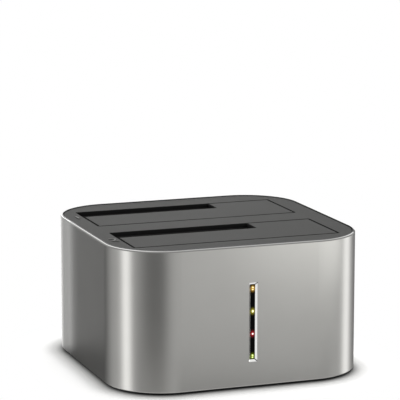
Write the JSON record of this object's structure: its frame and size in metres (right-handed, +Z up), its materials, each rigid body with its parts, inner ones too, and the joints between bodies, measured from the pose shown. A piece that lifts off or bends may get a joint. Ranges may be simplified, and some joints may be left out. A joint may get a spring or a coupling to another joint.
{
  "type": "hard drive docking station",
  "caption": "Desktop dock with upright drive bays closed by sprung L-shaped flaps, in a rounded metal case with a lit status strip.",
  "frame": {"origin": "on the floor, under the middle of the case", "axes": "+X to the right seen from the light strip, +Y to the ports at the back, +Z up"},
  "size_m": [0.128, 0.126, 0.07],
  "materials": {
    "shell_metal": "satin, bright chamfered rim",
    "deck_plastic": "fine moulded grain, dark grey",
    "flap_plastic": "fine moulded grain, dark grey",
    "case_plastic": "moulded, black",
    "liner_plastic": "moulded, black",
    "foot_rubber": "matt",
    "screw_steel": "plated",
    "hinge_steel": "ground",
    "spring_steel": "drawn wire",
    "board_laminate": "green solder mask",
    "chip_resin": "moulded resin",
    "can_metal": "drawn can",
    "coil_ferrite": "pressed ferrite",
    "socket_plastic": "moulded, black",
    "contact_gold": "gold plated",
    "plug_metal": "nickel plated",
    "light_bar_black": "smoked, polished",
    "lamp_amber": "clear dome, lit",
    "lamp_yellow": "clear dome, lit",
    "lamp_red": "clear dome, lit",
    "lamp_green": "clear dome, lit",
    "ribbon_film": "amber film",
    "key_plastic": "moulded, black"
  },
  "bodies": {
    "chassis": {"outer_shell": "shell_metal", "top_deck": "deck_plastic", "base_plate": "case_plastic", "rubber_feet": "foot_rubber", "base_screws": "screw_steel", "case_pillars": "case_plastic", "front_bay_liner": "liner_plastic", "rear_bay_liner": "liner_plastic", "front_hinge_pin": "hinge_steel", "rear_hinge_pin": "hinge_steel", "main_board": "board_laminate", "main_board_screws": "screw_steel", "controller_chips": "chip_resin", "capacitors": "can_metal", "power_coils": "coil_ferrite", "crystal": "can_metal", "bay_board": "board_laminate", "bay_board_screws": "screw_steel", "board_link": "socket_plastic", "front_drive_socket": "socket_plastic", "rear_drive_socket": "socket_plastic", "front_socket_contacts": "contact_gold", "rear_socket_contacts": "contact_gold", "light_bar": "light_bar_black", "led_board": "board_laminate", "led_board_screws": "screw_steel", "led_ribbon": "ribbon_film", "amber_led": "lamp_amber", "yellow_led": "lamp_yellow", "red_led": "lamp_red", "green_led": "lamp_green", "port_panel": "case_plastic", "usb_shell": "plug_metal", "usb_tongue": "socket_plastic", "jack_housing": "socket_plastic", "jack_pin": "plug_metal", "rocker_housing": "socket_plastic", "clone_switch": "socket_plastic"},
    "front_flap": {"front_flap": "flap_plastic", "front_flap_spring": "spring_steel"},
    "rear_flap": {"rear_flap": "flap_plastic", "rear_flap_spring": "spring_steel"},
    "power_rocker": {"power_rocker": "key_plastic"},
    "clone_button": {"clone_button": "key_plastic", "clone_plunger": "key_plastic"}
  },
  "joints": [
    {"name": "front_flap_hinge", "type": "hinge", "parent": "chassis", "child": "front_flap", "pos_m": [0, -0.0462, 0.0657], "axis": [-1, 0, 0], "range_deg": [0, 88], "stiffness_Nm_per_rad": 0.01, "springref_deg": -34.38},
    {"name": "rear_flap_hinge", "type": "hinge", "parent": "chassis", "child": "rear_flap", "pos_m": [0, 0.0096, 0.0657], "axis": [-1, 0, 0], "range_deg": [0, 88], "stiffness_Nm_per_rad": 0.01, "springref_deg": -34.38},
    {"name": "power_rocker_pivot", "type": "hinge", "parent": "chassis", "child": "power_rocker", "pos_m": [-0.02345, 0.0572, 0.0119], "axis": [0, 0, 1], "range_deg": [0, 16]},
    {"name": "clone_button_press", "type": "slide", "parent": "chassis", "child": "clone_button", "axis": [0, -1, 0], "range_m": [0, 0.0006], "stiffness_N_per_m": 400, "springref_m": -0.0005}
  ]
}
